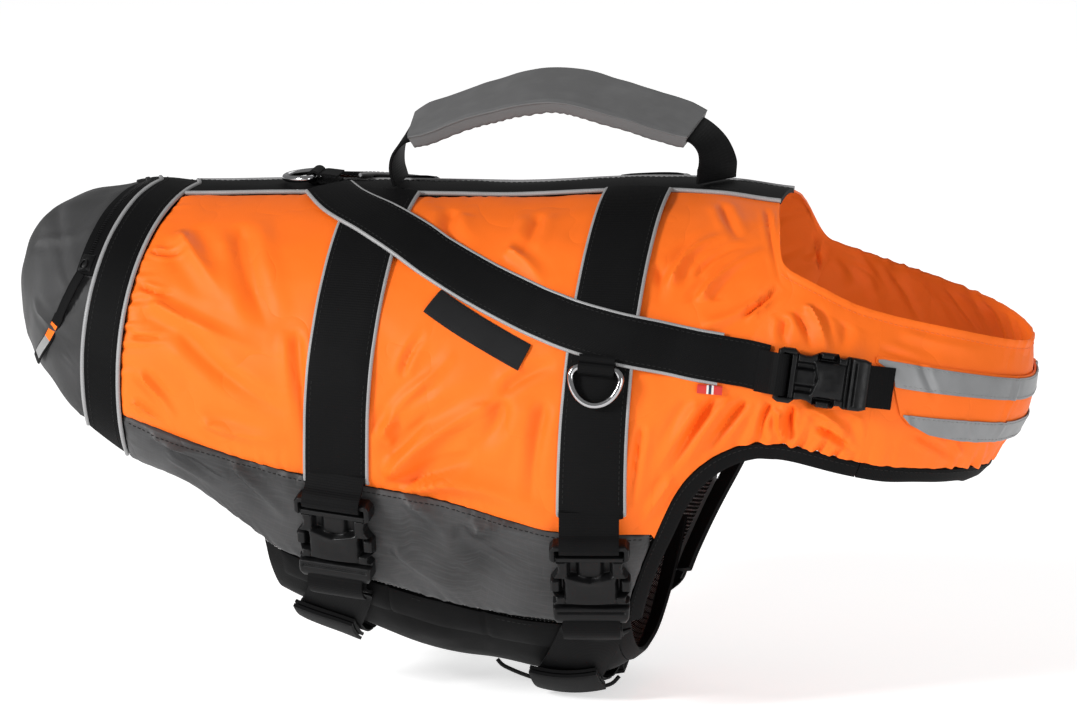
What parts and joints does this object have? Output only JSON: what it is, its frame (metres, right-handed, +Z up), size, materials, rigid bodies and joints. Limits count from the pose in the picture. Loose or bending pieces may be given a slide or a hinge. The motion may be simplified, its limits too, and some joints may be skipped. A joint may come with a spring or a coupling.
{
  "type": "dog life jacket",
  "caption": "Dog life jacket, filled out as worn with no wearer: body panels, straps with side-release buckles, carrying handle, lead ring and D-ring.",
  "frame": {"origin": "on the inner face of the back, on the centre line, where the wearer's back carries the jacket", "axes": "+X towards the head end, +Z up, -Y the side with the patch"},
  "size_m": [0.6213, 0.2579, 0.3742],
  "materials": {
    "orange_nylon": "light woven nylon, slight sheen",
    "grey_ripstop": "coated ripstop, slight gloss",
    "dark_nylon": "soft coated nylon",
    "reflective_tape": "grey retroreflective tape",
    "black_plastic": "moulded acetal, satin gloss",
    "chromed_steel": "polished",
    "handle_cover": "padded woven cover",
    "black_nylon": "black woven nylon",
    "black_binding": "folded grosgrain binding",
    "bare_patch": "plain woven patch",
    "flag_ribbon": "woven ribbon in a flag's colours",
    "elastic": "covered elastic cord",
    "black_webbing": "ribbed polyester webbing"
  },
  "bodies": {
    "jacket": {"back_ring_loop": "black_webbing", "belly_band_far": "black_webbing", "belly_band_near": "black_webbing", "belly_binding": "black_binding", "belly_panel": "black_nylon", "chest_binding": "black_binding", "chest_panel": "orange_nylon", "chest_webbing_far": "black_webbing", "chest_webbing_near": "black_webbing", "elastic_cord": "elastic", "flag_tag": "flag_ribbon", "front_belly_strap_far": "black_webbing", "front_belly_strap_near": "black_webbing", "front_buckle_far": "black_plastic", "front_buckle_near": "black_plastic", "front_strap_far": "black_webbing", "front_strap_near": "black_webbing", "front_strap_tail_far": "black_webbing", "front_strap_tail_near": "black_webbing", "grey_lower_far": "grey_ripstop", "grey_lower_near": "grey_ripstop", "handle_pad": "handle_cover", "handle_webbing": "black_webbing", "hip_band": "black_webbing", "leg_binding_far": "black_binding", "leg_binding_near": "black_binding", "orange_middle_far": "orange_nylon", "orange_middle_near": "orange_nylon", "orange_rear_far": "orange_nylon", "orange_rear_near": "orange_nylon", "orange_shoulder_far": "orange_nylon", "orange_shoulder_near": "orange_nylon", "rear_belly_strap_far": "black_webbing", "rear_belly_strap_near": "black_webbing", "rear_buckle_far": "black_plastic", "rear_buckle_near": "black_plastic", "rear_strap_far": "black_webbing", "rear_strap_near": "black_webbing", "rear_strap_tail_far": "black_webbing", "rear_strap_tail_near": "black_webbing", "reflective_band_lower": "reflective_tape", "reflective_band_upper": "reflective_tape", "rump_cover": "dark_nylon", "shoulder_buckle_far": "black_plastic", "shoulder_buckle_near": "black_plastic", "shoulder_strap_far": "black_webbing", "shoulder_strap_near": "black_webbing", "side_patch": "bare_patch", "side_ring_loop": "black_webbing", "spine_strip": "black_webbing", "throat_patch": "orange_nylon", "zip_pull_tab": "black_webbing", "zip_slider": "black_plastic", "zip_tape": "black_webbing"},
    "back_ring": {"back_ring": "chromed_steel"},
    "side_ring": {"side_ring": "chromed_steel"}
  },
  "joints": [
    {"name": "back_ring_swing", "type": "hinge", "parent": "jacket", "child": "back_ring", "pos_m": [-0.113, 0, 0.0076], "axis": [0, 1, 0], "range_deg": [0, 120]},
    {"name": "side_ring_swing", "type": "hinge", "parent": "jacket", "child": "side_ring", "pos_m": [0.08505, -0.12228, -0.08022], "axis": [-0.998, 0.0138, 0.0621], "range_deg": [0, 120]}
  ]
}
